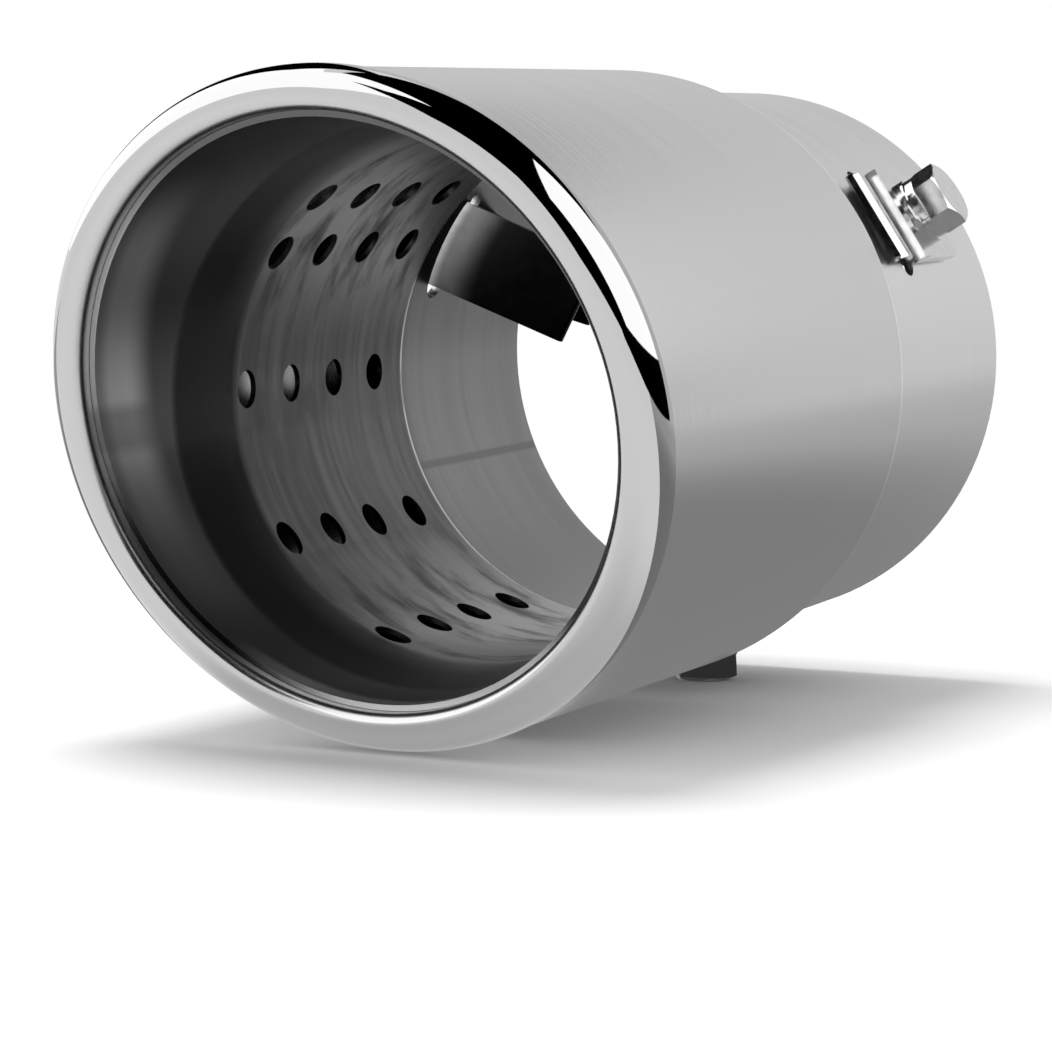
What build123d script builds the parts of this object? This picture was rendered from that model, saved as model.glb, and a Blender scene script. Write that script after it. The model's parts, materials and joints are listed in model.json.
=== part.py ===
"""Double-walled exhaust tip with a slanted rolled lip and three screw clamps.

The origin is the centre of the inlet end. +Y runs along the axis from the
outlet to the inlet, +Z is up and +X is to the right as seen from the outlet.
Sizes are in millimetres.
"""
from build123d import *
import math
import os

os.makedirs("parts", exist_ok=True)

# Outer casing: a rolled sheet shell with a slanted outlet
CASING_REAR_Y = -61.0
CASING_LENGTH = 102.9
CASING_STEP = 3.25
CASING_TAPER = 0.8
CASING_WALL = 1.2
CASING_EDGE_BEND = 2.4
OUTLET_SLANT_DEG = 14.4
SLANT_TURN_DEG = 16.0

# Rolled lip round the outlet
LIP_PROUD = 0.4
LIP_WIDTH = 6.4
LIP_BAND = 6.8
LIP_ROUND = 3.0
LIP_CORE_ROUND = 1.65
LIP_RETURN = 15.0

# Inlet collar, pushed into the casing's shoulder
COLLAR_RADIUS = 46.75
COLLAR_WALL = 1.5
COLLAR_INSERT = 3.5
COLLAR_RIM_ROUND = 0.5
SEAT_GAP = 0.05

# Inner liner: smooth front, narrower perforated sleeve, flared rear end
LINER_WALL = 0.9
LINER_SETBACK = 3.4
NECK_SETBACK = 28.9
NECK_LENGTH = 16.0
NECK_BEND = 14.0
SLEEVE_STEP = 3.95
FLARE_INSIDE = 7.0
FLARE_LENGTH = 5.5
FLARE_BEND = 3.0
HOLE_DIAMETER = 6.0
HOLE_START = 4.0
HOLE_PITCH = 15.0
HOLES_PER_ROW = 4

# Rows of holes on each side of the top, at these angles from it
HOLE_ROW_DEGS = (42.0, 58.0, 90.0, 125.0, 158.0)

# Clamps: where they sit round the collar, seen from the outlet
CLAMP_SIDES = ("right", "bottom", "left")
FIRST_CLAMP_DEG = 57.0
BOLT_Y = -27.0

# Bolt M6 x 25 with its nut and washers
BOLT_DIAMETER = 6.0
BOLT_LENGTH = 25.0
HEAD_FLATS = 10.0
HEAD_HEIGHT = 4.0
HEAD_CHAMFER_DEG = 30.0
TIP_CHAMFER = 0.9
NUT_FLATS = 10.0
NUT_HEIGHT = 5.0
NUT_SEAT_GAP = 0.03
THREAD_CLEARANCE = 0.05
BOLT_HOLE_CLEARANCE = 0.3
WASHER_DIAMETER = 12.0
WASHER_THICKNESS = 1.6
WASHER_CLEARANCE = 0.2
SPRING_DIAMETER = 11.2
SPRING_THICKNESS = 1.6
SPRING_GAP = 1.1
SPRING_GAP_DEG = 30.0

# Saddle plate under the washers, with a hem along its front edge
PLATE_THICKNESS = 1.2
PLATE_AHEAD = 11.0
PLATE_BEHIND = 10.0
PLATE_WIDTH = 17.0
PLATE_CORNER = 2.2
HEM_THICKNESS = 1.1
HEM_LENGTH = 3.4
HEM_ROUND = 0.9

# Jaw: a bent leaf that hooks over the collar and drops through its slot
JAW_WIDTH = 16.0
JAW_THICKNESS = 1.0
JAW_LIFT = 0.2
JAW_BEND = 1.3
JAW_CORNER = 2.0
SLOT_AHEAD = 16.0
SLOT_WIDTH = 5.7
SLOT_SIDE_CLEARANCE = 2.2
KNEE_INSET = 1.1
KNEE_RISE = 0.2
CREST_AHEAD = 2.5
CREST_RISE = 0.85
TROUGH_AHEAD = 5.5
HOOK_AHEAD = 7.9
HOOK_RISE = 1.15

# The jaw's gripping ridges, measured from the bolt's axis and tip
RIDGE_AHEAD = 2.5
RIDGE_DROP = 3.95
VALLEY_BEHIND = 13.0
VALLEY_RISE = 4.85
TOOTH_BEHIND = 18.5
TOOTH_RISE = 0.15
END_BEHIND = 20.3
END_RISE = 1.65

# Positions that follow from the sizes above
outlet_y = CASING_REAR_Y - CASING_LENGTH
neck_start_y = outlet_y + NECK_SETBACK
neck_end_y = neck_start_y + NECK_LENGTH
flare_end_y = CASING_REAR_Y + FLARE_INSIDE
slot_front_y = BOLT_Y - SLOT_AHEAD
clamp_angles = {
    side: FIRST_CLAMP_DEG + place * 360 / len(CLAMP_SIDES) for place, side in enumerate(CLAMP_SIDES)
}

# Radii that follow from the sizes above
casing_rear_radius = COLLAR_RADIUS + CASING_STEP
casing_front_radius = casing_rear_radius - CASING_TAPER
lip_radius = casing_front_radius + LIP_PROUD
lip_bore = lip_radius - LIP_WIDTH
return_radius = lip_bore + CASING_WALL
liner_front_radius = lip_bore - SEAT_GAP
collar_bore = COLLAR_RADIUS - COLLAR_WALL
flare_radius = collar_bore - SEAT_GAP
sleeve_radius = collar_bore - SLEEVE_STEP
plate_top = COLLAR_RADIUS + PLATE_THICKNESS
washer_top = plate_top + WASHER_THICKNESS
head_seat = washer_top + SPRING_THICKNESS
tip_radius = head_seat - BOLT_LENGTH
nut_corner = NUT_FLATS / math.sqrt(3)
nut_seat = math.sqrt(collar_bore**2 - nut_corner**2) - NUT_SEAT_GAP
bolt_hole = BOLT_DIAMETER / 2 + BOLT_HOLE_CLEARANCE

# Blanks start this far ahead of the outlet
SPARE = 30.0
blank_y = outlet_y - SPARE


def casing_radius(y, inset=0.0):
    """Radius of the casing's slight cone at y, or of a like cone inside it."""
    return casing_front_radius + CASING_TAPER * (y - outlet_y) / CASING_LENGTH - inset


def turned(*points):
    """Revolve a closed outline of (y, radius) points about the axis."""
    with BuildSketch(Plane.YZ) as outline:
        with BuildLine():
            Polyline(*points, close=True)
        make_face()
    revolve(outline.sketch, axis=Axis.Y)


def outward(angle):
    """Direction from the axis outward at an angle round it, seen from the outlet."""
    turn = math.radians(angle)
    return Vector(math.sin(turn), 0, math.cos(turn))


slant = math.radians(OUTLET_SLANT_DEG)
outlet_plane = Plane(
    origin=(0, outlet_y, 0),
    z_dir=outward(SLANT_TURN_DEG) * math.sin(slant) + Vector(0, math.cos(slant), 0),
)


def cut_parallel_to_outlet(setback, keep=Keep.TOP):
    """Keep what lies behind, or ahead of, a plane parallel to the slanted outlet."""
    split(bisect_by=outlet_plane.offset(setback), keep=keep)


def round_collar(angle):
    """Direction round the collar at an angle."""
    turn = math.radians(angle)
    return Vector(math.cos(turn), 0, -math.sin(turn))


def radial_plane(angle, radius, y=0.0):
    """Plane square to the radius, with x round the collar and y along the axis."""
    return Plane(
        origin=outward(angle) * radius + Vector(0, y, 0),
        x_dir=round_collar(angle),
        z_dir=outward(angle),
    )


def side_plane(angle):
    """Plane through the axis, with x along the axis and y outward."""
    return Plane(origin=(0, 0, 0), x_dir=(0, 1, 0), z_dir=round_collar(angle))


def side_plane_at(plane):
    """Plane that holds the normal of another as its y."""
    return Plane(origin=plane.origin, x_dir=plane.x_dir, z_dir=plane.x_dir.cross(plane.z_dir))


# Core that hollows the casing and leaves the lip as a rolled sheet
with BuildPart() as casing_core:
    core_rear_y = CASING_REAR_Y - CASING_WALL
    turned(
        (blank_y, return_radius),
        (blank_y, casing_radius(blank_y, CASING_WALL)),
        (core_rear_y, casing_radius(core_rear_y, CASING_WALL)),
        (core_rear_y, return_radius),
    )
    cut_parallel_to_outlet(CASING_WALL)
    core_rear = faces().sort_by(Axis.Y)[-1]
    fillet(core_rear.edges().sort_by(SortBy.LENGTH)[-1], CASING_EDGE_BEND - CASING_WALL)
    core_front = faces().filter_by(outlet_plane)[0]
    fillet(core_front.edges(), LIP_CORE_ROUND)

# Widening of the bore behind the end of the lip's return
with BuildPart() as casing_bore:
    turned(
        (blank_y, 0),
        (blank_y, return_radius + LIP_CORE_ROUND),
        (core_rear_y, return_radius + LIP_CORE_ROUND),
        (core_rear_y, 0),
    )
    cut_parallel_to_outlet(LIP_RETURN)

# Outer casing with its rolled lip, rear edge bend and shoulder
with BuildPart() as outer_casing:
    turned(
        (blank_y, 0),
        (blank_y, lip_radius),
        (CASING_REAR_Y, lip_radius),
        (CASING_REAR_Y, 0),
    )
    cut_parallel_to_outlet(LIP_BAND, keep=Keep.BOTTOM)
    turned(
        (blank_y, 0),
        (blank_y, casing_radius(blank_y)),
        (CASING_REAR_Y, casing_rear_radius),
        (CASING_REAR_Y, 0),
    )
    cut_parallel_to_outlet(0)
    rear_edges = faces().filter_by(Axis.Y).sort_by(Axis.Y)[-1].edges()
    fillet(rear_edges, CASING_EDGE_BEND)
    with BuildSketch(Plane.XZ.offset(-CASING_REAR_Y)):
        Circle(COLLAR_RADIUS + SEAT_GAP)
    extrude(amount=CASING_WALL, both=True, mode=Mode.SUBTRACT)
    with BuildSketch(Plane.XZ.offset(-CASING_REAR_Y)):
        Circle(lip_bore)
    extrude(amount=CASING_REAR_Y - blank_y, mode=Mode.SUBTRACT)
    lip_front = faces().filter_by(outlet_plane).sort_by(Axis.Y)[0]
    fillet(lip_front.edges(), LIP_ROUND)
    add(casing_core.part, mode=Mode.SUBTRACT)
    add(casing_bore.part, mode=Mode.SUBTRACT)
outer_casing.part.label = "outer_casing"
export_step(outer_casing.part, "parts/outer_casing.step")

# Inner liner with its rows of round holes
with BuildPart() as inner_liner:
    with BuildSketch(Plane.YZ):
        with BuildLine():
            FilletPolyline(
                (blank_y, liner_front_radius),
                (neck_start_y, liner_front_radius),
                (neck_end_y, sleeve_radius),
                (flare_end_y - FLARE_LENGTH, sleeve_radius),
                (flare_end_y, flare_radius),
                radius=[NECK_BEND, NECK_BEND, FLARE_BEND],
            )
            offset(amount=LINER_WALL, side=Side.RIGHT)
        make_face()
    revolve(axis=Axis.Y)
    cut_parallel_to_outlet(LINER_SETBACK)
    for row_angle in HOLE_ROW_DEGS + tuple(-angle for angle in HOLE_ROW_DEGS):
        with BuildSketch(radial_plane(row_angle, sleeve_radius)):
            for column in range(HOLES_PER_ROW):
                with Locations((0, neck_end_y + HOLE_START + column * HOLE_PITCH)):
                    Circle(HOLE_DIAMETER / 2)
        extrude(amount=2 * LINER_WALL, both=True, mode=Mode.SUBTRACT)
inner_liner.part.label = "inner_liner"
export_step(inner_liner.part, "parts/inner_liner.step")

# Inlet collar with a slot and a bolt hole for each clamp
with BuildPart() as inlet_collar:
    turned(
        (CASING_REAR_Y - COLLAR_INSERT, collar_bore),
        (CASING_REAR_Y - COLLAR_INSERT, COLLAR_RADIUS),
        (0, COLLAR_RADIUS),
        (0, collar_bore),
    )
    rim_edges = faces().filter_by(Axis.Y).sort_by(Axis.Y)[-1].edges()
    fillet(rim_edges, COLLAR_RIM_ROUND)
    for angle in clamp_angles.values():
        with BuildSketch(radial_plane(angle, COLLAR_RADIUS)):
            with Locations((0, slot_front_y + SLOT_WIDTH / 2)):
                SlotOverall(JAW_WIDTH + 2 * SLOT_SIDE_CLEARANCE, SLOT_WIDTH)
            with Locations((0, BOLT_Y)):
                Circle(bolt_hole)
        extrude(amount=4 * COLLAR_WALL, both=True, mode=Mode.SUBTRACT)
inlet_collar.part.label = "inlet_collar"
export_step(inlet_collar.part, "parts/inlet_collar.step")


def make_saddle_plate(side, angle):
    """Flat plate that spans the collar, with a hem folded over its front edge."""
    plate_length = PLATE_AHEAD + PLATE_BEHIND
    hem_height = PLATE_THICKNESS + HEM_THICKNESS
    with BuildPart() as saddle_plate:
        with BuildSketch(radial_plane(angle, COLLAR_RADIUS, BOLT_Y)):
            with Locations((0, (PLATE_BEHIND - PLATE_AHEAD) / 2)):
                RectangleRounded(PLATE_WIDTH, plate_length, PLATE_CORNER)
            Circle(bolt_hole, mode=Mode.SUBTRACT)
        extrude(amount=PLATE_THICKNESS)
        with BuildSketch(side_plane(angle)):
            with Locations((BOLT_Y - PLATE_AHEAD + HEM_LENGTH / 2, COLLAR_RADIUS + hem_height / 2)):
                hem = Rectangle(HEM_LENGTH, hem_height)
            upper_corners = hem.vertices().sort_by(lambda vertex: vertex.center().dot(outward(angle)))[-2:]
            fillet(upper_corners, HEM_ROUND)
        extrude(amount=PLATE_WIDTH / 2, both=True)
    saddle_plate.part.label = f"saddle_plate_{side}"
    export_step(saddle_plate.part, f"parts/saddle_plate_{side}.step")


def chamfered_hexagon(plane, flats, height):
    """Hexagon prism on a plane, with the corners of its far face chamfered round."""
    with BuildSketch(plane) as hexagon:
        RegularPolygon(flats / 2, 6, major_radius=False)
    extrude(hexagon.sketch, amount=height)
    corner = flats / math.sqrt(3)
    drop = (corner - flats / 2) * math.tan(math.radians(HEAD_CHAMFER_DEG))
    with BuildSketch(side_plane_at(plane)) as cone:
        with BuildLine():
            Polyline(
                (0, 0),
                (corner, 0),
                (corner, height - drop),
                (flats / 2, height),
                (0, height),
                close=True,
            )
        make_face()
    revolve(cone.sketch, axis=Axis(plane.origin, plane.z_dir), mode=Mode.INTERSECT)


def make_nut(side, angle):
    """Hexagon nut that is welded inside the collar."""
    inward_plane = Plane(
        origin=outward(angle) * nut_seat + Vector(0, BOLT_Y, 0),
        x_dir=round_collar(angle),
        z_dir=-outward(angle),
    )
    with BuildPart() as nut:
        chamfered_hexagon(inward_plane, NUT_FLATS, NUT_HEIGHT)
        with BuildSketch(inward_plane):
            Circle(BOLT_DIAMETER / 2 + THREAD_CLEARANCE)
        extrude(amount=NUT_HEIGHT, mode=Mode.SUBTRACT)
    nut.part.label = f"weld_nut_{side}"
    export_step(nut.part, f"parts/weld_nut_{side}.step")


def make_flat_washer(side, angle):
    """Flat washer that lies on the saddle plate."""
    with BuildPart() as flat_washer:
        with BuildSketch(radial_plane(angle, plate_top, BOLT_Y)):
            Circle(WASHER_DIAMETER / 2)
            Circle(BOLT_DIAMETER / 2 + WASHER_CLEARANCE, mode=Mode.SUBTRACT)
        extrude(amount=WASHER_THICKNESS)
    flat_washer.part.label = f"flat_washer_{side}"
    export_step(flat_washer.part, f"parts/flat_washer_{side}.step")


def make_spring_washer(side, angle):
    """Split spring washer, pressed flat under the bolt's head."""
    with BuildPart() as spring_washer:
        with BuildSketch(radial_plane(angle, washer_top, BOLT_Y)):
            Circle(SPRING_DIAMETER / 2)
            Circle(BOLT_DIAMETER / 2 + WASHER_CLEARANCE, mode=Mode.SUBTRACT)
            with Locations(Location((0, 0), SPRING_GAP_DEG)):
                with Locations((0, -SPRING_DIAMETER / 2)):
                    Rectangle(SPRING_GAP, SPRING_DIAMETER, mode=Mode.SUBTRACT)
        extrude(amount=SPRING_THICKNESS)
    spring_washer.part.label = f"spring_washer_{side}"
    export_step(spring_washer.part, f"parts/spring_washer_{side}.step")


def make_bolt(side, angle):
    """Hexagon-head bolt whose tip presses into the jaw's first ridge."""
    with BuildPart() as bolt:
        chamfered_hexagon(radial_plane(angle, head_seat, BOLT_Y), HEAD_FLATS, HEAD_HEIGHT)
        with BuildSketch(radial_plane(angle, head_seat, BOLT_Y)):
            Circle(BOLT_DIAMETER / 2)
        extrude(amount=-BOLT_LENGTH)
        tip_edge = edges().sort_by(lambda edge: edge.center().dot(outward(angle)))[0]
        chamfer(tip_edge, TIP_CHAMFER)
    bolt.part.label = f"bolt_{side}"
    export_step(bolt.part, f"parts/bolt_{side}.step")


def make_jaw(side, angle):
    """Leaf that hooks over the collar, drops through the slot and ends in two gripping ridges."""
    rest = COLLAR_RADIUS + JAW_LIFT
    front_y = slot_front_y - HOOK_AHEAD
    end_y = BOLT_Y + END_BEHIND
    with BuildPart() as jaw:
        with BuildSketch(side_plane(angle)):
            with BuildLine():
                FilletPolyline(
                    (front_y, rest + HOOK_RISE),
                    (slot_front_y - TROUGH_AHEAD, rest),
                    (slot_front_y - CREST_AHEAD, rest + CREST_RISE),
                    (slot_front_y + KNEE_INSET, rest + KNEE_RISE),
                    (BOLT_Y - RIDGE_AHEAD, tip_radius - RIDGE_DROP),
                    (BOLT_Y + VALLEY_BEHIND, tip_radius + VALLEY_RISE),
                    (BOLT_Y + TOOTH_BEHIND, tip_radius + TOOTH_RISE),
                    (end_y, tip_radius + END_RISE),
                    radius=JAW_BEND,
                )
                offset(amount=JAW_THICKNESS, side=Side.LEFT)
            make_face()
        extrude(amount=JAW_WIDTH, both=True)
        with BuildSketch(radial_plane(angle, 0, (front_y + end_y) / 2)):
            RectangleRounded(JAW_WIDTH, end_y - front_y + 2 * JAW_THICKNESS, JAW_CORNER)
        extrude(amount=2 * COLLAR_RADIUS, mode=Mode.INTERSECT)
    jaw.part.label = f"jaw_{side}"
    export_step(jaw.part, f"parts/jaw_{side}.step")


for clamp_side, clamp_angle in clamp_angles.items():
    make_saddle_plate(clamp_side, clamp_angle)
    make_nut(clamp_side, clamp_angle)
    make_flat_washer(clamp_side, clamp_angle)
    make_spring_washer(clamp_side, clamp_angle)
    make_bolt(clamp_side, clamp_angle)
    make_jaw(clamp_side, clamp_angle)
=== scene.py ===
# %% [markdown]
# This notebook dresses a double-walled exhaust tip: a polished casing with a
# rolled lip, a dull perforated liner inside it, and a collar with three screw
# clamps. The solid parts come from the frame, and here they get their finishes.
# One of them, the casing, also gets a finer copy, because its mirror lip would
# show each facet of the solid. All lengths are in metres.

# %% Load the frame
import json
import math
import bmesh
import bpy
from mathutils import Matrix, Vector


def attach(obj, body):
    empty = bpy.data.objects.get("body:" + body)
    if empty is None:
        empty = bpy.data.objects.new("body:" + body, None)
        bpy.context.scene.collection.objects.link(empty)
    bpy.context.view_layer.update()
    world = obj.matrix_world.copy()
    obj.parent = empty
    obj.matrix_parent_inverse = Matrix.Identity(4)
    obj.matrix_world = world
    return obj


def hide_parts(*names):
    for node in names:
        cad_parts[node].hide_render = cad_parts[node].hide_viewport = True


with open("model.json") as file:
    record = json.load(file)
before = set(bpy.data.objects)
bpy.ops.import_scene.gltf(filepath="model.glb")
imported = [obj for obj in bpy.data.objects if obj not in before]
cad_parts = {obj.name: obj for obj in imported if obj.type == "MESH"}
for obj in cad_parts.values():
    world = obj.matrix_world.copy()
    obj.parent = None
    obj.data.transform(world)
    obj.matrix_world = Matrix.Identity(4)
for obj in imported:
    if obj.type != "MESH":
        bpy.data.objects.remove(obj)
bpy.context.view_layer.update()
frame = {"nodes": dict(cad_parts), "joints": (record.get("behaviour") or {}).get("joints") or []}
nodes_by_name = frame["nodes"]
joints_by_name = {joint["name"]: joint for joint in frame["joints"]}

# %% [markdown]
# The finishes need a few places on the object: the slanted plane of the outlet,
# the bends of the liner, and the bolt that the tip rests on. They could be read
# off each solid's points, but a few named values are easier to follow. Angles
# round the tube are counted from the top, clockwise as seen from the outlet. Y
# runs from the outlet to the inlet, and a name that ends in _Y is a place along
# it, while NECK_END is counted from the outlet.

# %% Places on the object
OUTLET_Y = -0.1639
OUTLET_SLANT = math.radians(14.4)
SLANT_TURN = math.radians(16.0)
SLOPE_RIGHT = math.tan(OUTLET_SLANT) * math.sin(SLANT_TURN)
SLOPE_UP = math.tan(OUTLET_SLANT) * math.cos(SLANT_TURN)
LIP_BAND = 0.0068
LIP_RADIUS = 0.0496
NECK_END = 0.0449
FLARE_BEND_Y = -0.0592
FLARE_END_Y = -0.054
SHOULDER_Y = -0.0634
CASING_REAR_RADIUS = 0.05

OUTLET_CENTRE = Vector((0, OUTLET_Y, 0))
bottom_bolt_seat = Vector(joints_by_name["screw_turn_bottom"]["pos_m"])
print("outlet centre at y =", round(OUTLET_Y, 4), "bolts at y =", bottom_bolt_seat.y)

# %% [markdown]
# Every material is a small tree of nodes. These helpers keep the trees short:
# one makes a material, one adds a node and sets its inputs, and the others wrap
# the nodes that every finish needs. An input is either a value or the output
# socket of another node.

# %% Helpers for node trees
def feed(tree, socket, source):
    """Set a socket to a value, or link it to another node's output."""
    if isinstance(source, bpy.types.NodeSocket):
        tree.links.new(source, socket)
    else:
        socket.default_value = source


def add_node(tree, kind, inputs=None, **settings):
    """Add a node, set its options and feed its inputs by name or number."""
    node = tree.nodes.new(kind)
    for option, value in settings.items():
        setattr(node, option, value)
    for socket, source in (inputs or {}).items():
        feed(tree, node.inputs[socket], source)
    return node


def calc(tree, operation, *sources, clamp=False):
    """Add a Math node and return its output."""
    node = add_node(tree, "ShaderNodeMath", operation=operation, use_clamp=clamp)
    for socket, source in zip(node.inputs, sources):
        feed(tree, socket, source)
    return node.outputs[0]


def product(tree, first, *others):
    """Multiply masks with each other."""
    for other in others:
        first = calc(tree, "MULTIPLY", first, other)
    return first


def distance_between(tree, first, second):
    """How far a value is from another one, without its sign."""
    return calc(tree, "ABSOLUTE", calc(tree, "SUBTRACT", first, second))


def fade(tree, value, start, end, low=0.0, high=1.0):
    """Go smoothly from low to high while the value goes from start to end."""
    node = add_node(
        tree,
        "ShaderNodeMapRange",
        {"Value": value, "From Min": start, "From Max": end, "To Min": low, "To Max": high},
        interpolation_type="SMOOTHSTEP",
    )
    return node.outputs["Result"]


def mix_colour(tree, factor, first, second):
    """Mix two colours and return the result."""
    node = add_node(tree, "ShaderNodeMix", data_type="RGBA")
    feed(tree, node.inputs["Factor"], factor)
    feed(tree, node.inputs["A"], first)
    feed(tree, node.inputs["B"], second)
    return node.outputs["Result"]


def grey(level):
    """A neutral colour."""
    return (level, level, level, 1.0)


def split(tree, position):
    """The three parts of a position, x, y and z."""
    return add_node(tree, "ShaderNodeSeparateXYZ", {"Vector": position}).outputs


def object_coordinates(tree):
    """Position on the object in metres, in the frame's axes."""
    return add_node(tree, "ShaderNodeTexCoord").outputs["Object"]


def new_material(name):
    """Make a material and return it with its tree and its shader."""
    material = bpy.data.materials.new(name)
    material.use_nodes = True
    tree = material.node_tree
    return material, tree, tree.nodes["Principled BSDF"]


def new_metal(name, roughness, colour):
    """Make a bare metal, plain until its sockets are linked to nodes."""
    material, tree, shader = new_material(name)
    shader.inputs["Metallic"].default_value = 1.0
    shader.inputs["Roughness"].default_value = roughness
    shader.inputs["Base Color"].default_value = colour
    return material, tree, shader


print("node helpers ready")

# %% [markdown]
# Rolled tubes are marked round their girth: the rolls leave faint lines that run
# round the tube, and wiping leaves longer smears. A pattern like that needs
# coordinates that wrap round the tube. A UV map could give them, but the solids
# have none, so this group turns a position into an angle, a place along the axis
# and a radius. Every tube finish uses it.

# %% Shader group: tube coordinates
def make_group(name, inputs, outputs):
    """Make a shader group with its sockets, and return it with its two end nodes."""
    group = bpy.data.node_groups.new(name, "ShaderNodeTree")
    for label, kind, value in inputs:
        socket = group.interface.new_socket(label, in_out="INPUT", socket_type=kind)
        if value is not None:
            socket.default_value = value
    for label, kind in outputs:
        group.interface.new_socket(label, in_out="OUTPUT", socket_type=kind)
    return group, group.nodes.new("NodeGroupInput"), group.nodes.new("NodeGroupOutput")


tube_group, group_in, group_out = make_group(
    "Tube coordinates",
    [("Position", "NodeSocketVector", None)],
    [("Angle", "NodeSocketFloat"), ("Along", "NodeSocketFloat"), ("Radius", "NodeSocketFloat")],
)
place_x, place_y, place_z = split(tube_group, group_in.outputs["Position"])
feed(tube_group, group_out.inputs["Angle"], calc(tube_group, "ARCTAN2", place_x, place_z))
feed(tube_group, group_out.inputs["Along"], place_y)
squares = calc(
    tube_group,
    "ADD",
    calc(tube_group, "MULTIPLY", place_x, place_x),
    calc(tube_group, "MULTIPLY", place_z, place_z),
)
feed(tube_group, group_out.inputs["Radius"], calc(tube_group, "SQRT", squares))
print("group:", tube_group.name)

# %% [markdown]
# The roll marks themselves: noise that is drawn out round the girth by the Round
# value and squeezed along the axis by the Along value. It is read at the point's
# own place on the tube and not at its angle, so that the pattern has no join
# where the angle jumps from the end of a turn to its start.

# %% Shader group: roll marks
marks_group, group_in, group_out = make_group(
    "Roll marks",
    [
        ("Position", "NodeSocketVector", None),
        ("Round", "NodeSocketFloat", 12.0),
        ("Along", "NodeSocketFloat", 400.0),
        ("Detail", "NodeSocketFloat", 3.0),
        ("Low", "NodeSocketFloat", 0.35),
        ("High", "NodeSocketFloat", 0.65),
    ],
    [("Mask", "NodeSocketFloat")],
)
stretch = add_node(
    marks_group,
    "ShaderNodeCombineXYZ",
    {0: group_in.outputs["Round"], 1: group_in.outputs["Along"], 2: group_in.outputs["Round"]},
)
stretched = add_node(
    marks_group,
    "ShaderNodeVectorMath",
    {0: group_in.outputs["Position"], 1: stretch.outputs[0]},
    operation="MULTIPLY",
)
noise = add_node(
    marks_group,
    "ShaderNodeTexNoise",
    {
        "Vector": stretched.outputs[0],
        "Scale": 1.0,
        "Detail": group_in.outputs["Detail"],
        "Roughness": 0.6,
    },
)
mask = fade(marks_group, noise.outputs["Fac"], group_in.outputs["Low"], group_in.outputs["High"])
feed(marks_group, group_out.inputs["Mask"], mask)
print("group:", marks_group.name)

# %% [markdown]
# The finishes of the tubes differ from place to place: along the axis, behind
# the slanted outlet, and at the seams where each sheet was rolled up and welded
# shut. These helpers find those places in a material's tree, with the two groups
# above. Painting them on the mesh would need far more faces than the solids have.

# %% Places in a material
SEAM_CORE = 0.4


def tube_coordinates(tree):
    """Angle round the tube, place along it and distance from its axis."""
    node = add_node(tree, "ShaderNodeGroup", node_tree=tube_group)
    feed(tree, node.inputs["Position"], object_coordinates(tree))
    return node.outputs["Angle"], node.outputs["Along"], node.outputs["Radius"]


def behind_outlet(tree):
    """Distance along the axis behind the slanted plane of the outlet."""
    x, y, z = split(tree, object_coordinates(tree))
    ahead = calc(tree, "MULTIPLY_ADD", x, SLOPE_RIGHT, y)
    ahead = calc(tree, "MULTIPLY_ADD", z, SLOPE_UP, ahead)
    return calc(tree, "SUBTRACT", ahead, OUTLET_Y)


def roll_marks(tree, around, along, detail, low=0.35, high=0.65):
    """A mask of marks that run round the tube."""
    values = {"Round": around, "Along": along, "Detail": detail, "Low": low, "High": high}
    node = add_node(tree, "ShaderNodeGroup", node_tree=marks_group)
    feed(tree, node.inputs["Position"], object_coordinates(tree))
    for socket, value in values.items():
        node.inputs[socket].default_value = value
    return node.outputs["Mask"]


def seam_mask(tree, angle_degrees, half_width, radius):
    """A narrow line along the tube where the sheet's edges meet."""
    angle, _, _ = tube_coordinates(tree)
    offset = distance_between(tree, angle, math.radians(angle_degrees))
    half_angle = half_width / radius
    return fade(tree, offset, half_angle, half_angle * SEAM_CORE)


print("places in a material ready")

# %% [markdown]
# The casing is one sheet with two finishes. Its lip is mirror polished, and the
# tube behind it is a shade softer, so that it shows a smooth grey gradient. Two
# materials on two sets of faces would do it too, but the change lies on a slanted
# line, so one material finds it by the distance behind the outlet. The lip's
# inner edge is duller, and the bend at the rear gets a painted highlight, a
# brighter grey than the tube's.

# %% Casing finish
LIP_ROUGHNESS = 0.035
LIP_INNER_ROUGHNESS = 0.3
LIP_INNER_EDGE = (0.0434, 0.0448)
SHELL_ROUGHNESS = 0.2
SHELL_UNEVENNESS = 0.03
SHELL_START = (LIP_BAND * 0.98, LIP_BAND * 1.06)
REAR_BEND_HIGHLIGHT_START = (SHOULDER_Y - 0.0003, SHOULDER_Y + 0.0002)
LIP_GREY = grey(0.57)
TUBE_GREY = grey(0.76)
REAR_BEND_HIGHLIGHT_GREY = grey(1.0)
CASING_MARKS = {"around": 6.0, "along": 900.0, "detail": 4.0}


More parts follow.
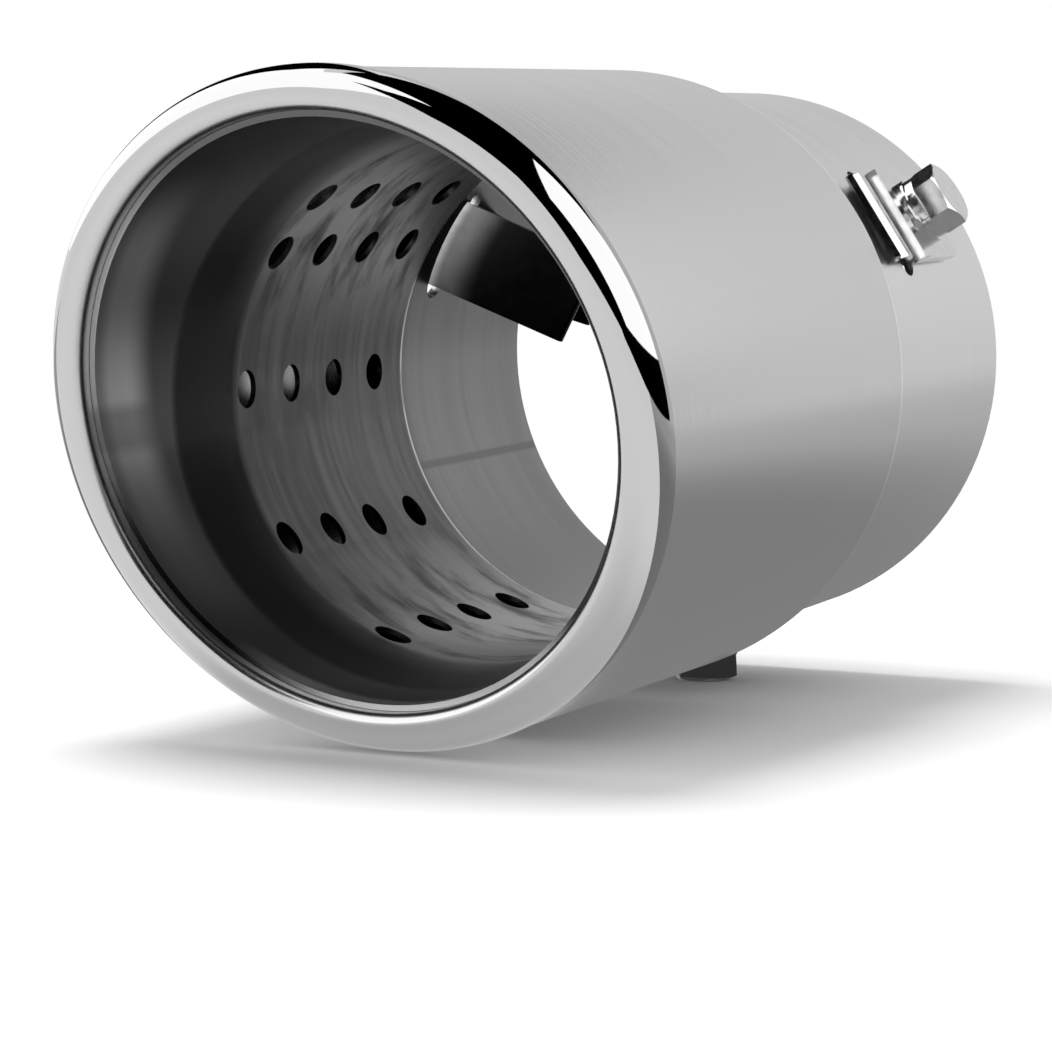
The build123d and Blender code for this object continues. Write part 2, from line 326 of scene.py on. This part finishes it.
def make_casing_finish():
    """Polished stainless with a mirror lip and a softer tube."""
    material, tree, shader = new_metal("casing_polish", SHELL_ROUGHNESS, grey(0.82))
    _, along, radius = tube_coordinates(tree)
    shell = fade(tree, behind_outlet(tree), *SHELL_START)
    marks = roll_marks(tree, **CASING_MARKS)
    roughness = add_node(tree, "ShaderNodeMix", {"Factor": shell}, data_type="FLOAT")
    lip_roughness = fade(tree, radius, *LIP_INNER_EDGE, LIP_INNER_ROUGHNESS, LIP_ROUGHNESS)
    shell_roughness = calc(tree, "MULTIPLY_ADD", marks, SHELL_UNEVENNESS, SHELL_ROUGHNESS)
    feed(tree, roughness.inputs["A"], lip_roughness)
    feed(tree, roughness.inputs["B"], shell_roughness)
    feed(tree, shader.inputs["Roughness"], roughness.outputs["Result"])
    # painted highlight: the rear bend is coloured brighter than the tube
    bend = fade(tree, along, *REAR_BEND_HIGHLIGHT_START)
    tube_colour = mix_colour(tree, bend, TUBE_GREY, REAR_BEND_HIGHLIGHT_GREY)
    feed(tree, shader.inputs["Base Color"], mix_colour(tree, shell, LIP_GREY, tube_colour))
    return material


casing_finish = make_casing_finish()
print("material:", casing_finish.name)

# %% [markdown]
# The liner is the same steel, but it was never polished, and heat has stained it.
# Its finish is built from the sheet outward, one layer at a time, because each
# mark can then be moved without the others. First the perforated sleeve at the
# back: painted lighter toward its top, with painted shade at one level where it
# turns away from the light, streaked round its girth and stained in clouds.

# %% Liner sleeve
SLEEVE_START = (NECK_END - 0.008, NECK_END + 0.004)
SLEEVE_GREY = grey(0.44)
SLEEVE_TOP = (0.01, 0.028)
SLEEVE_TOP_PAINTED_LIGHT_GREY = grey(0.75)
DARK_LEVEL_Z = -0.009
DARK_LEVEL_EDGE = (0.013, 0.03)
DARK_LEVEL_SHADE_GREY = grey(0.08)
STREAK_STRENGTH = 0.25
STREAK_GREY = grey(0.4)
STAIN_GREY = grey(0.17)


def sleeve_colour(tree, streaks, stains):
    """Colour of the liner's sleeve, with painted light and shade, streaks and stains."""
    _, _, z = split(tree, object_coordinates(tree))
    # painted light: the sleeve is coloured paler toward its top
    sheet = mix_colour(tree, fade(tree, z, *SLEEVE_TOP), SLEEVE_GREY, SLEEVE_TOP_PAINTED_LIGHT_GREY)
    # painted shade: darker at one level, where the sleeve turns away from the light
    off_level = fade(tree, distance_between(tree, z, DARK_LEVEL_Z), *DARK_LEVEL_EDGE)
    sheet = mix_colour(tree, off_level, DARK_LEVEL_SHADE_GREY, sheet)
    sheet = mix_colour(tree, product(tree, streaks, STREAK_STRENGTH), sheet, STREAK_GREY)
    return mix_colour(tree, stains, sheet, STAIN_GREY)


print("sleeve colours ready")

# %% [markdown]
# The neck in front of the sleeve gets painted shade, darkest below. Just behind
# the lip two places get painted light, one on the left and a short one at the
# bottom. Each is where two or three plain fades meet, which is enough for a soft
# patch and needs no painted picture.

# %% Liner neck
LOW_NECK_SHADE_GREY = grey(0.03)
HIGH_NECK_SHADE_GREY = grey(0.13)
UPPER_NECK = (-0.024, 0.01)
LEAST_UPPER_NECK = 0.08
SIDE_PAINTED_LIGHT_GREY = grey(0.9)
LIT_PATCH_SIDE = (-0.022, -0.043)
LIT_PATCH_REAR = (0.021, 0.012)
LIT_PATCH_FRONT = (0.004, 0.008)
LEAST_LIT_PATCH_FRONT = 0.45
BOTTOM_PAINTED_LIGHT_GREY = grey(0.6)
BOTTOM_LEVEL = (-0.026, -0.036)
BOTTOM_REAR = (0.0085, 0.006)
BOTTOM_SIDE = (-0.026, -0.012)


def add_neck(tree, sleeve, colour):
    """Cover a colour with the neck's painted shade and its two patches of painted light."""
    x, _, z = split(tree, object_coordinates(tree))
    behind = behind_outlet(tree)
    # painted shade on the neck, darker toward the bottom
    upper_neck = fade(tree, z, *UPPER_NECK, LEAST_UPPER_NECK, 1.0)
    neck_shade = mix_colour(tree, upper_neck, LOW_NECK_SHADE_GREY, HIGH_NECK_SHADE_GREY)
    colour = mix_colour(tree, calc(tree, "SUBTRACT", 1.0, sleeve), colour, neck_shade)
    # painted light: a pale patch on the left, just behind the lip
    lit_patch = product(
        tree,
        fade(tree, x, *LIT_PATCH_SIDE),
        upper_neck,
        fade(tree, behind, *LIT_PATCH_REAR),
        fade(tree, behind, *LIT_PATCH_FRONT, LEAST_LIT_PATCH_FRONT, 1.0),
    )
    colour = mix_colour(tree, lit_patch, colour, SIDE_PAINTED_LIGHT_GREY)
    # painted light: a pale patch at the bottom, just behind the lip
    bottom = product(
        tree,
        fade(tree, z, *BOTTOM_LEVEL),
        fade(tree, behind, *BOTTOM_REAR),
        fade(tree, x, *BOTTOM_SIDE),
    )
    return mix_colour(tree, bottom, colour, BOTTOM_PAINTED_LIGHT_GREY)


print("neck colours ready")

# %% [markdown]
# Last come a painted highlight on the edge of the flare, where it catches the
# light, and the welded seam, a dark band down the left side. The streaks are also
# pressed into the surface a little, by a Bump node, so that the dull sheet doesn't
# look painted.

# %% Liner finish
LINER_STREAKS = {"around": 22.0, "along": 420.0, "detail": 5.0, "low": 0.3, "high": 0.7}
LINER_CLOUDS = {"around": 60.0, "along": 150.0, "detail": 6.0, "low": 0.45, "high": 0.7}
NECK_STREAKS = 0.15
FLARE_HIGHLIGHT_SPREAD = (0.0011, 0.0004)
FLARE_HIGHLIGHT_GREY = grey(0.9)
LINER_SEAM = {"angle_degrees": -95.0, "half_width": 0.0048, "radius": 0.0415}
LINER_SEAM_STRENGTH = 0.55
LINER_SEAM_GREY = grey(0.12)
LINER_ROUGHNESS = 0.3
STAIN_ROUGHNESS = 0.14
STREAK_DEPTH = 0.0001
STREAK_BUMP = 0.12


def make_liner_finish():
    """Dull, stained sheet with a seam, painted light and painted shade."""
    material, tree, shader = new_metal("liner_sheet", 0.38, grey(0.4))
    _, along, _ = tube_coordinates(tree)
    sleeve = fade(tree, calc(tree, "SUBTRACT", along, OUTLET_Y), *SLEEVE_START)
    shown = calc(tree, "MULTIPLY_ADD", sleeve, 1.0 - NECK_STREAKS, NECK_STREAKS)
    streaks = product(tree, roll_marks(tree, **LINER_STREAKS), shown)
    stains = product(tree, roll_marks(tree, **LINER_CLOUDS), sleeve)
    colour = add_neck(tree, sleeve, sleeve_colour(tree, streaks, stains))
    # painted highlight on the bend of the flare
    flare_highlight = fade(tree, distance_between(tree, along, FLARE_BEND_Y), *FLARE_HIGHLIGHT_SPREAD)
    colour = mix_colour(tree, flare_highlight, colour, FLARE_HIGHLIGHT_GREY)
    seam = product(tree, seam_mask(tree, **LINER_SEAM), LINER_SEAM_STRENGTH)
    feed(tree, shader.inputs["Base Color"], mix_colour(tree, seam, colour, LINER_SEAM_GREY))
    rough = calc(tree, "MULTIPLY_ADD", stains, STAIN_ROUGHNESS, LINER_ROUGHNESS)
    feed(tree, shader.inputs["Roughness"], rough)
    pressed = {"Height": streaks, "Strength": STREAK_BUMP, "Distance": STREAK_DEPTH}
    bump = add_node(tree, "ShaderNodeBump", pressed)
    feed(tree, shader.inputs["Normal"], bump.outputs["Normal"])
    return material


liner_finish = make_liner_finish()
print("material:", liner_finish.name)

# %% [markdown]
# The collar is satin outside. Inside, the tailpipe end is darker, with painted
# shade darkest behind the liner's flare, and shows faint roll marks and the line
# of its own seam, a little lower than the liner's. The radius tells the two sides
# of its wall apart, so that one material does for both.

# %% Collar finish
COLLAR_WALL = (0.0456, 0.0464)
COLLAR_GREY = grey(0.84)
BORE_GREYS = (grey(0.22), grey(0.25))
BORE_STREAKS = {"around": 9.0, "along": 300.0, "detail": 3.0}
COLLAR_SEAM = {"angle_degrees": -113.0, "half_width": 0.001, "radius": 0.0453}
COLLAR_SEAM_GREY = grey(0.16)
FLARE_SHADE = (FLARE_END_Y + 0.008, FLARE_END_Y)
FLARE_SHADE_STRENGTH = 0.75
FLARE_SHADE_GREY = grey(0.06)
SATIN = 0.24
SATIN_UNEVENNESS = 0.03


def make_collar_finish():
    """Satin tube with a seam on its lower left."""
    material, tree, shader = new_metal("collar_satin", 0.26, grey(0.8))
    _, along, radius = tube_coordinates(tree)
    outside = fade(tree, radius, *COLLAR_WALL)
    streaks = roll_marks(tree, **BORE_STREAKS)
    inside = mix_colour(tree, streaks, *BORE_GREYS)
    inside = mix_colour(tree, seam_mask(tree, **COLLAR_SEAM), inside, COLLAR_SEAM_GREY)
    # painted shade behind the liner's flare
    shade = fade(tree, along, *FLARE_SHADE, 0.0, FLARE_SHADE_STRENGTH)
    inside = mix_colour(tree, shade, inside, FLARE_SHADE_GREY)
    feed(tree, shader.inputs["Base Color"], mix_colour(tree, outside, inside, COLLAR_GREY))
    rough = calc(tree, "MULTIPLY_ADD", streaks, SATIN_UNEVENNESS, SATIN)
    feed(tree, shader.inputs["Roughness"], rough)
    return material


collar_finish = make_collar_finish()
print("material:", collar_finish.name)

# %% [markdown]
# The clamp parts are small stampings. The plates and jaws are bright strip with
# a fine, uneven polish, and the screws, nuts and washers are zinc plated. They
# differ only in brightness and roughness, so one function makes all three
# finishes. The clamp under the tube is darkened, because the real one stands in
# the tip's own shadow, which a mirror finish can't hold.

# %% Clamp finishes
POLISH_NOISE = {"Scale": 500.0, "Detail": 4.0}
POLISH_RANGE = (0.35, 0.7)
POLISH_UNEVENNESS = 0.05
POLISH_DARKENING = 0.93
UNDERSIDE_LEVEL = (-0.045, -0.05)
UNDERSIDE_GREY = grey(0.1)


def make_strip_finish(name, level, roughness):
    """Bright strip steel with a fine, uneven polish."""
    material, tree, shader = new_metal(name, roughness, grey(level))
    position = object_coordinates(tree)
    noise = add_node(tree, "ShaderNodeTexNoise", {"Vector": position, **POLISH_NOISE})
    uneven = fade(tree, noise.outputs["Fac"], *POLISH_RANGE)
    rough = calc(tree, "MULTIPLY_ADD", uneven, POLISH_UNEVENNESS, roughness)
    feed(tree, shader.inputs["Roughness"], rough)
    clean = mix_colour(tree, uneven, grey(level), grey(level * POLISH_DARKENING))
    _, _, z = split(tree, position)
    underside = fade(tree, z, *UNDERSIDE_LEVEL)
    feed(tree, shader.inputs["Base Color"], mix_colour(tree, underside, clean, UNDERSIDE_GREY))
    return material


plate_finish = make_strip_finish("plate_strip", level=0.84, roughness=0.16)
jaw_finish = make_strip_finish("jaw_strip", level=0.8, roughness=0.16)
zinc_finish = make_strip_finish("zinc_plate", level=0.86, roughness=0.12)
print("materials:", plate_finish.name, jaw_finish.name, zinc_finish.name)

# %% [markdown]
# A jaw hooks over the collar and hangs down inside it, where its leaf gets
# painted shade. The radius says how deep a point hangs, so the painted shade is
# laid over the strip finish by two fades, from the bright hook through a grey
# bend to the dark leaf.

# %% Painted shade on the jaws
HOOK_START = (0.0445, 0.0462)
LEAF_BEND = (0.0385, 0.044)
LEAF_SHADE_GREY = grey(0.02)
LEAF_BEND_SHADE_GREY = grey(0.28)


def paint_shade_inside(material):
    """Paint shade on the leaf of a jaw where it hangs inside the collar."""
    tree = material.node_tree
    shader = tree.nodes["Principled BSDF"]
    strip_colour = shader.inputs["Base Color"].links[0].from_socket
    _, _, radius = tube_coordinates(tree)
    # painted shade: the leaf goes from a grey bend to near black
    leaf_shade = mix_colour(tree, fade(tree, radius, *LEAF_BEND), LEAF_SHADE_GREY, LEAF_BEND_SHADE_GREY)
    hook = fade(tree, radius, *HOOK_START)
    feed(tree, shader.inputs["Base Color"], mix_colour(tree, hook, leaf_shade, strip_colour))


paint_shade_inside(jaw_finish)
print("clamp materials ready")

# %% [markdown]
# The solids are right as they are, so each keeps its shape, and only the material
# in its slot changes. A part's finish is found by the start of its name, because
# the three clamps have the same parts, one set on each side.

# %% Dress the solids
FINISHES = {
    "outer_casing": casing_finish,
    "inner_liner": liner_finish,
    "inlet_collar": collar_finish,
    "saddle_plate": plate_finish,
    "weld_nut": zinc_finish,
    "flat_washer": zinc_finish,
    "spring_washer": zinc_finish,
    "bolt": zinc_finish,
    "jaw": jaw_finish,
}


def finish_for(node_name):
    """The finish whose name starts the node's name."""
    return next(finish for start, finish in FINISHES.items() if node_name.startswith(start))


for node_name, node_object in nodes_by_name.items():
    finish = finish_for(node_name)
    if not node_object.material_slots:
        node_object.data.materials.append(finish)
    for slot in node_object.material_slots:
        slot.material = finish
print("dressed:", len(nodes_by_name))

# %% [markdown]
# The mirror lip shows every facet of the solid casing, so a finer casing stands
# for it here. It could be the solid with a subdivision surface, but that would
# round the corners too. Instead its section, a closed outline from the lip's
# return round the outside to the hollow between the walls, is drawn point by
# point and then turned round the axis.

# %% Section of the casing
CASING_REAR_Y = -0.061
CASING_TAPER = 0.0008
CASING_LENGTH = 0.1029
WALL = 0.0012
LIP_BORE = 0.0432
LIP_INNER_ROLL = 0.002
LIP_FULLNESS = 0.9
LIP_RETURN = 0.015
REAR_BEND = 0.0024
COLLAR_HOLE = 0.0468
BEND_STEPS = 20


def quarter_turn():
    """Angles from 0 to 90 degrees in even steps."""
    return [math.pi / 2 * step / BEND_STEPS for step in range(BEND_STEPS + 1)]


def lip_section():
    """Section of the lip's outside, as places along the axis and radii."""
    crest = LIP_BORE + LIP_INNER_ROLL
    points = [(OUTLET_Y + LIP_RETURN, LIP_BORE)]
    for turn in quarter_turn():
        setback = LIP_INNER_ROLL * (1 - math.sin(turn))
        points.append((OUTLET_Y + setback, crest - LIP_INNER_ROLL * math.cos(turn)))
    for turn in quarter_turn()[1:]:
        setback = LIP_BAND * (1 - math.cos(turn) ** LIP_FULLNESS)
        radius = crest + (LIP_RADIUS - crest) * math.sin(turn) ** LIP_FULLNESS
        points.append((OUTLET_Y + setback, radius))
    return points


def rear_section():
    """Section of the rear bend and of the hollow, back to the lip's return."""
    bend_radius = CASING_REAR_RADIUS - REAR_BEND
    points = []
    for turn in quarter_turn():
        place = CASING_REAR_Y - REAR_BEND * (1 - math.sin(turn))
        points.append((place, bend_radius + REAR_BEND * math.cos(turn)))
    return points + [
        (CASING_REAR_Y, COLLAR_HOLE),
        (CASING_REAR_Y - WALL, COLLAR_HOLE),
        (CASING_REAR_Y - WALL, bend_radius),
        (CASING_REAR_Y - REAR_BEND, CASING_REAR_RADIUS - WALL),
        (OUTLET_Y + 2 * WALL, LIP_RADIUS - 2 * WALL),
        (OUTLET_Y + 2 * WALL, LIP_BORE + WALL),
        (OUTLET_Y + LIP_RETURN, LIP_BORE + WALL),
    ]


print("section points:", len(lip_section()) + len(rear_section()))

# %% [markdown]
# A spin makes a casing with a square end. A shear then slants its front, so that
# the lip's points keep their distance behind the outlet, and the rear stays where
# it is. The tube meets the lip at its seam, and because the tube is a slight
# cone, the seam's points are fitted to the cone after the shear.

# %% Casing with a smooth lip
GIRTH_STEPS = 360
CASING_MIDDLE_Y = (OUTLET_Y + CASING_REAR_Y) / 2
SHARP_CORNER = math.radians(30)


def add_to_scene(name, contents):
    """Put a mesh, lamp or camera into the scene as an object."""
    thing = bpy.data.objects.new(name, contents)
    bpy.context.scene.collection.objects.link(thing)
    return thing


def mesh_object(name, shape):
    """Put a finished bmesh into the scene as an object."""
    mesh = bpy.data.meshes.new(name)
    shape.to_mesh(mesh)
    shape.free()
    return add_to_scene(name, mesh)


def casing_radius(y):
    """Radius of the casing's slight cone."""
    return CASING_REAR_RADIUS - CASING_TAPER * (CASING_REAR_Y - y) / CASING_LENGTH


def spin_section():
    """Turn the section round the axis, and return the shape and the mark of its seam."""
    lip = lip_section()
    outline = [*lip, lip[-1], *rear_section()]
    shape = bmesh.new()
    seam_mark = shape.verts.layers.int.new("seam")
    points = [shape.verts.new((0, place, radius)) for place, radius in outline]
    points[len(lip)][seam_mark] = 1
    edges = [shape.edges.new(ends) for ends in zip(points, points[1:] + points[:1])]
    bmesh.ops.spin(
        shape,
        geom=points + edges,
        cent=(0, 0, 0),
        axis=(0, 1, 0),
        angle=2 * math.pi,
        steps=GIRTH_STEPS,
        use_merge=True,
    )
    return shape, seam_mark


def slant_front(shape, seam_mark):
    """Shear the front onto the outlet's plane, and fit the seam to the tube's cone."""
    shear = Matrix.Identity(4)
    shear[1][0], shear[1][2] = -SLOPE_RIGHT, -SLOPE_UP
    front = [point for point in shape.verts if point.co.y < CASING_MIDDLE_Y]
    bmesh.ops.transform(shape, matrix=shear, verts=front)
    for point in shape.verts:
        if point[seam_mark]:
            growth = casing_radius(point.co.y) / LIP_RADIUS
            point.co.x *= growth
            point.co.z *= growth
    shape.verts.layers.int.remove(seam_mark)


def make_smooth_casing():
    """The finer casing, smooth all over but for its corners."""
    shape, seam_mark = spin_section()
    slant_front(shape, seam_mark)
    bmesh.ops.recalc_face_normals(shape, faces=shape.faces)
    for face in shape.faces:
        face.smooth = True
    for edge in shape.edges:
        edge.smooth = edge.calc_face_angle() < SHARP_CORNER
    piece = mesh_object("casing_smooth", shape)
    piece.data.materials.append(casing_finish)
    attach(piece, "tip_shell")
    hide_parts("outer_casing")
    return piece


smooth_casing = make_smooth_casing()
print("casing faces:", len(smooth_casing.data.polygons))

# %% [markdown]
# The tip lies on its lip and on the head of its bottom screw, which stands a
# little further out, so the table under it is a plane through those two places.
# The tip itself can't be turned onto a level table, because it stays where the
# frame has it.

# %% Table
HEAD_HEIGHT = 0.004
HEAD_FACE_RADIUS = 0.0045
LIP_TOUCH_SETBACK = 0.0025
TABLE_SIZE = 4.0

head_touch = bottom_bolt_seat - Vector((0, HEAD_FACE_RADIUS, HEAD_HEIGHT))
lip_touch = Vector((0, OUTLET_Y + LIP_RADIUS * SLOPE_UP + LIP_TOUCH_SETBACK, -LIP_RADIUS))
TABLE_TILT = math.atan2(head_touch.z - lip_touch.z, head_touch.y - lip_touch.y)
print("table tilt in degrees:", round(math.degrees(TABLE_TILT), 2))


def flat_card(name, centre, facing, width, height):
    """Flat sheet at a place, facing a direction, with its place in its mesh."""
    shape = bmesh.new()
    bmesh.ops.create_grid(shape, x_segments=1, y_segments=1, size=0.5)
    bmesh.ops.scale(shape, verts=shape.verts, vec=(width, height, 1))
    turn = facing.to_track_quat("Z", "Y").to_matrix().to_4x4()
    bmesh.ops.transform(shape, matrix=Matrix.Translation(centre) @ turn, verts=shape.verts)
    card = mesh_object(name, shape)
    return card


table_up = Vector((0, -math.sin(TABLE_TILT), math.cos(TABLE_TILT)))
table = flat_card("table", lip_touch, table_up, TABLE_SIZE, TABLE_SIZE)

# %% [markdown]
# The table is matt white. It keeps the tip's shadow, and further out it fades
# into the white background, so that no edge of it shows. The Light Path node lets
# the metal mirror a flatter floor with a paler shadow, because a real studio table
# is lit more evenly than two lamps can light this one.

# %% Table finish
TABLE_WHITE = grey(0.92)
TABLE_MIRRORED = grey(0.48)
TABLE_GLOW = 0.4
TABLE_ROUGHNESS = 0.9
TABLE_FADE = (0.16, 0.42)
WHITE = grey(1.0)

under_the_tip = (0.0, OUTLET_Y / 2, lip_touch.z)


def ray_masks(tree):
    """Two masks: what the camera or a mirror sees, and what only a mirror sees."""
    paths = add_node(tree, "ShaderNodeLightPath")
    mirrored = paths.outputs["Is Glossy Ray"]
    seen = calc(tree, "ADD", paths.outputs["Is Camera Ray"], mirrored)
    seen = calc(tree, "ADD", seen, paths.outputs["Is Transmission Ray"], clamp=True)
    return seen, mirrored


def white_glow(tree, strength):
    """A white glow of a strength, as a shader."""
    glow = add_node(tree, "ShaderNodeEmission", {"Color": WHITE, "Strength": strength})
    return glow.outputs[0]


def away_from_tip(tree):
    """Distance from the place on the table under the tip's middle."""
    both_places = {0: object_coordinates(tree), 1: under_the_tip}
    node = add_node(tree, "ShaderNodeVectorMath", both_places, operation="DISTANCE")
    return node.outputs["Value"]


def make_table_finish():
    """Matt white that keeps the shadow and fades into the background."""
    material, tree, shader = new_material("table_white")
    shader.inputs["Roughness"].default_value = TABLE_ROUGHNESS
    shader.inputs["Specular IOR Level"].default_value = 0.0
    seen, mirrored = ray_masks(tree)
    colour = mix_colour(tree, mirrored, TABLE_WHITE, TABLE_MIRRORED)
    feed(tree, shader.inputs["Base Color"], colour)
    glow = white_glow(tree, product(tree, mirrored, TABLE_GLOW))
    near = add_node(tree, "ShaderNodeAddShader", {0: shader.outputs[0], 1: glow})
    far = product(tree, fade(tree, away_from_tip(tree), *TABLE_FADE), seen)
    layers = {0: far, 1: near.outputs[0], 2: white_glow(tree, 1.0)}
    faded = add_node(tree, "ShaderNodeMixShader", layers)
    feed(tree, tree.nodes["Material Output"].inputs["Surface"], faded.outputs[0])
    return material


table.data.materials.append(make_table_finish())
print("table ready")

# %% [markdown]
# Polished metal is drawn by what it reflects. A picture of a studio could light
# it, but plain cards, as a photographer uses, can be moved one by one, and they
# show in reflections only. Each upright card is placed by its direction from the
# outlet: the turn from straight behind toward the right, and the height above
# the level, in degrees. It also has a distance, a width and height in degrees,
# and a brightness. A grey wall gives the tube its upper tone. The softbox on the
# left and its end card draw the bright arc on the lip, and the black flag behind
# gives the arc a dark side. The black flags on the right and the white window
# next to them draw the dark sweep and the bright strip, and the low flag keeps
# what the metal mirrors low on the right dark.

# %% Upright cards
UPRIGHT_CARDS = {
    "wall_card": (0, 12, 2.2, (100, 44), 0.64),
    "softbox_card": (-98, 36, 1.2, (108, 62), 1.7),
    "flag_behind": (-38, 31, 1.3, (22, 42), 0.0),
    "flag_right": (130, 24, 1.1, (64, 74), 0.0),
    "flag_front": (166, 42, 1.15, (50, 42), 0.0),
    "window_card": (67, 30, 0.8, (70, 46), 1.7),
    "softbox_end": (-125, 71, 0.8, (40, 20), 1.7),
    "flag_low": (79, 1.5, 0.5, (90, 14), 0.0),
}


def reflection_card(name, centre, facing, size, level):
    """A card that only reflections see."""
    card = flat_card(name, centre, facing, *size)
    material, tree, shader = new_material(name)
    tree.nodes.remove(shader)
    feed(tree, tree.nodes["Material Output"].inputs["Surface"], white_glow(tree, level))
    card.data.materials.append(material)
    card.visible_camera = False
    card.visible_diffuse = False
    card.visible_shadow = False
    card.visible_transmission = False
    return card


def upright_card(name, turn_degrees, height_degrees, distance, spread, level):
    """A card that faces the outlet and covers a spread of directions, wide and high."""
    turn, height = math.radians(turn_degrees), math.radians(height_degrees)
    level_part = math.cos(height)
    away = Vector((math.sin(turn) * level_part, math.cos(turn) * level_part, math.sin(height)))
    size = [2 * distance * math.tan(math.radians(degrees / 2)) for degrees in spread]
    return reflection_card(name, OUTLET_CENTRE + away * distance, -away, size, level)


for card_name, card_values in UPRIGHT_CARDS.items():
    upright_card(card_name, *card_values)
print("upright cards:", len(UPRIGHT_CARDS))

# %% [markdown]
# Two cards lie flat. One is a black flag overhead. The other is a grey cloth on
# the table behind the tip, which gives the tube its lower, darker tone. It gets
# lighter away from the tip, because the tone under the real one changes smoothly
# and a cloth of one grey would end in a hard edge.

# %% Flat cards
OVERHEAD_PLACE = Vector((0.43, 0.35, 0.95))
OVERHEAD_SIZE = (1.55, 2.5)
CLOTH_RIGHT = 0.35
CLOTH_BEHIND = 0.95
CLOTH_LIFT = 0.0006
CLOTH_SIZE = (2.3, 1.85)
CLOTH_LEVELS = [(0.12, 0.24), (0.4, 0.46), (1.5, 0.62)]


def lighten_with_distance(card, steps):
    """Give a card brightness steps (distance, level) from the tip's middle outward."""
    tree = card.active_material.node_tree
    away = away_from_tip(tree)
    _, level = steps[0]
    for (near, low), (far, high) in zip(steps, steps[1:]):
        level = calc(tree, "ADD", level, fade(tree, away, near, far, 0.0, high - low))
    feed(tree, tree.nodes["Emission"].inputs["Strength"], level)


reflection_card("flag_overhead", OVERHEAD_PLACE, Vector((0, 0, -1)), OVERHEAD_SIZE, 0.0)
cloth_rise = CLOTH_BEHIND * math.tan(TABLE_TILT) + CLOTH_LIFT
cloth_centre = lip_touch + Vector((CLOTH_RIGHT, CLOTH_BEHIND, cloth_rise))
cloth = reflection_card("floor_cloth", cloth_centre, table_up, CLOTH_SIZE, CLOTH_LEVELS[0][1])
lighten_with_distance(cloth, CLOTH_LEVELS)
print("flat cards ready")

# %% [markdown]
# Two large soft lamps light the table and cast the tip's shadow, and the world
# adds an even glow. Polished metal would mirror a lamp as a hard square, so the
# lamps stay out of reflections. What the camera and the metal see of the world is
# plain white. Each lamp has a place from the tip's middle, a size and a power in
# watts.

# %% Lamps and world
LAMPS = {
    "lamp_top": (Vector((-0.2, 0.05, 1.0)), 0.5, 7.5),
    "lamp_front": (Vector((-0.5, -0.9, 0.7)), 0.7, 0.6),
}
AMBIENT = 0.75


def soft_lamp(name, place, target, size, power):
    """A square soft lamp that points at a target."""
    lamp_data = bpy.data.lights.new(name, "AREA")
    lamp_data.size = size
    lamp_data.energy = power
    lamp = add_to_scene(name, lamp_data)
    lamp.location = place
    lamp.rotation_euler = (target - place).to_track_quat("-Z", "Y").to_euler()
    lamp.visible_glossy = False
    return lamp


middle = Vector((0, OUTLET_Y / 2, 0))
for lamp_name, (from_middle, lamp_size, lamp_power) in LAMPS.items():
    soft_lamp(lamp_name, middle + from_middle, middle, lamp_size, lamp_power)

world = bpy.data.worlds.new("studio")
bpy.context.scene.world = world
world.use_nodes = True
world_tree = world.node_tree
background = world_tree.nodes["Background"]
world_seen, _ = ray_masks(world_tree)
brightness = fade(world_tree, world_seen, 0.0, 1.0, AMBIENT, 1.0)
feed(world_tree, background.inputs["Color"], WHITE)
feed(world_tree, background.inputs["Strength"], brightness)
print("lamps ready")

# %% [markdown]
# The camera stands to the right of the outlet and a little above it. Its place is
# given from the centre of the outlet, in radii of the casing. Its direction was
# fitted together with its place, so it is given as two directions and not as a
# target to look at.

# %% Camera
CAMERA_PLACE = Vector((4.641, -9.155, 0.820)) * CASING_REAR_RADIUS
CAMERA_FORWARD = Vector((-0.4030, 0.9088, -0.1080))
CAMERA_UP = Vector((-0.0438, 0.0988, 0.9941))
LENS = 125.7
SENSOR_WIDTH = 36.0
NEAREST_SEEN = 0.01

camera_data = bpy.data.cameras.new("camera")
camera_data.lens = LENS
camera_data.sensor_width = SENSOR_WIDTH
camera_data.clip_start = NEAREST_SEEN
camera = add_to_scene("camera", camera_data)
back = -CAMERA_FORWARD.normalized()
side = CAMERA_UP.cross(back).normalized()
axes = Matrix((side, back.cross(side), back)).transposed().to_4x4()
camera.matrix_world = Matrix.Translation(OUTLET_CENTRE + CAMERA_PLACE) @ axes
bpy.context.scene.camera = camera
bpy.context.scene.view_settings.view_transform = "Standard"
print("camera at", camera.location)
